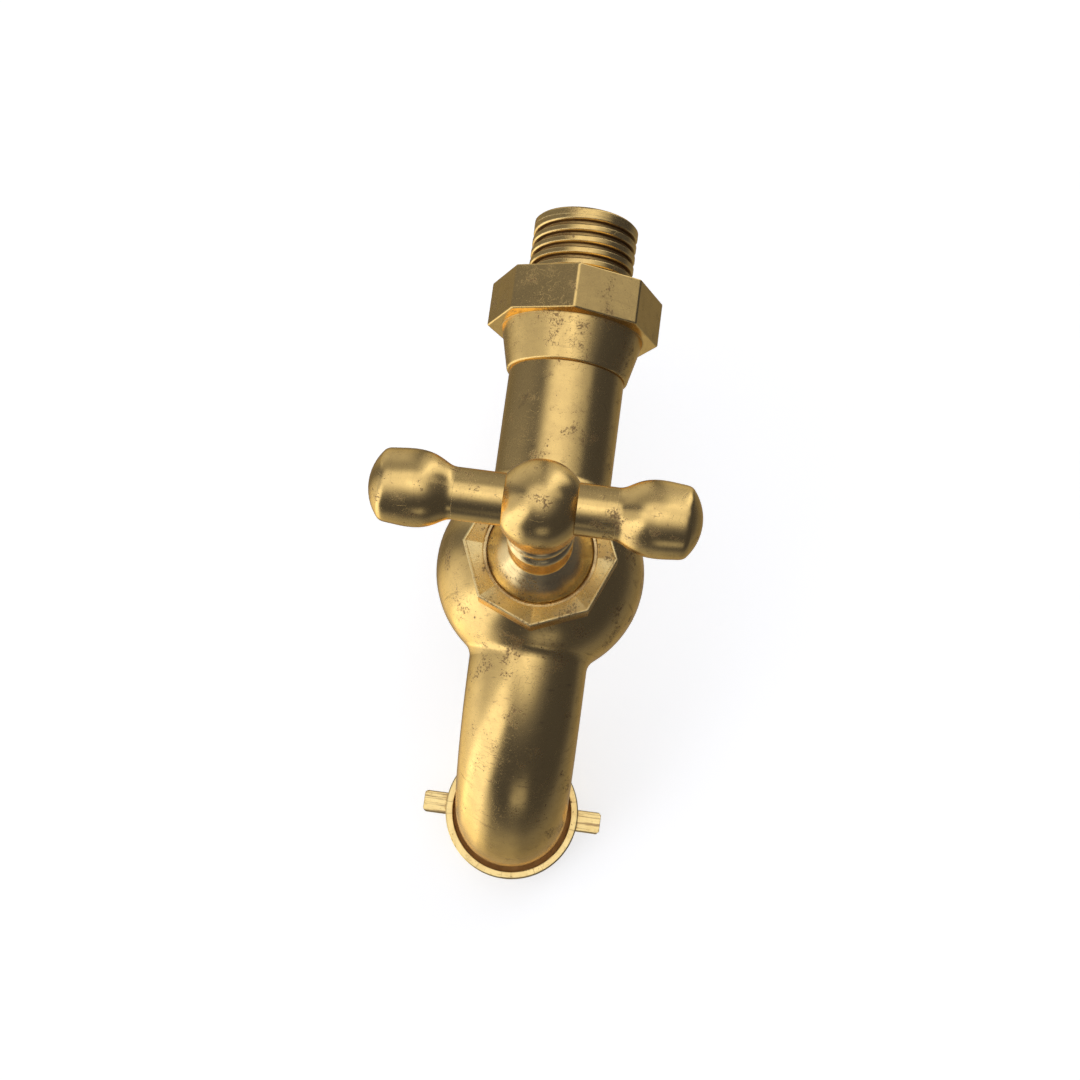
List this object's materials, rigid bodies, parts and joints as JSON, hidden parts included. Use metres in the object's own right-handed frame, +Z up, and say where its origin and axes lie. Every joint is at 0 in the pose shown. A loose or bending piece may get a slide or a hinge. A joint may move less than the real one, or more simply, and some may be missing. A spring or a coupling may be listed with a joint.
{
  "type": "hose bib",
  "caption": "Globe-pattern bib tap with a T-handle, a male threaded inlet with an octagonal collar, a curved spout and a swivelling pin-lug hose coupling.",
  "frame": {"origin": "on the inlet axis, at the collar's wall-side face where the inlet thread starts", "axes": "+Y along the inlet thread towards the wall, +Z up along the spindle, spout towards -Y, cross bar along X"},
  "size_m": [0.0527, 0.1298, 0.1156],
  "materials": {
    "brass": "aged satin, mottled",
    "bright_brass": "worn bright",
    "steel": "plain",
    "rubber": "matte",
    "fibre": "pressed fibre",
    "packing": "graphited yarn"
  },
  "bodies": {
    "tap_body": {"valve_body": "brass", "inlet_nipple": "brass", "inlet_gasket": "fibre", "valve_seat": "brass", "bonnet": "brass", "bonnet_gasket": "fibre", "bonnet_nut": "brass", "packing_washer": "brass", "packing_ring_1": "packing", "packing_ring_2": "packing", "packing_ring_3": "packing", "packing_nut": "brass", "retaining_ring": "steel"},
    "valve_plug": {"jumper": "brass", "seat_washer": "rubber", "washer_nut": "brass"},
    "spindle": {"stem": "brass", "handle_hub": "brass", "handle_bar": "brass", "left_knob": "brass", "right_knob": "brass", "hub_set_screw": "steel"},
    "hose_coupling": {"coupling_ring": "bright_brass", "left_lug": "bright_brass", "right_lug": "bright_brass", "coupling_washer": "rubber"}
  },
  "joints": [
    {"name": "valve_lift", "type": "slide", "parent": "tap_body", "child": "valve_plug", "axis": [0, 0, 1], "range_m": [0, 0.005]},
    {"name": "handle_turn", "type": "hinge", "parent": "valve_plug", "child": "spindle", "pos_m": [0, -0.0571, 0], "axis": [0, 0, 1], "range_deg": [0, 720]},
    {"name": "coupling_spin", "type": "hinge", "parent": "tap_body", "child": "hose_coupling", "pos_m": [0, -0.1019, 0], "axis": [0, 0, 1], "continuous": true}
  ],
  "couplings": [
    {"joint": "handle_turn", "follows": "valve_lift", "rad_per_m": 2513.3}
  ]
}
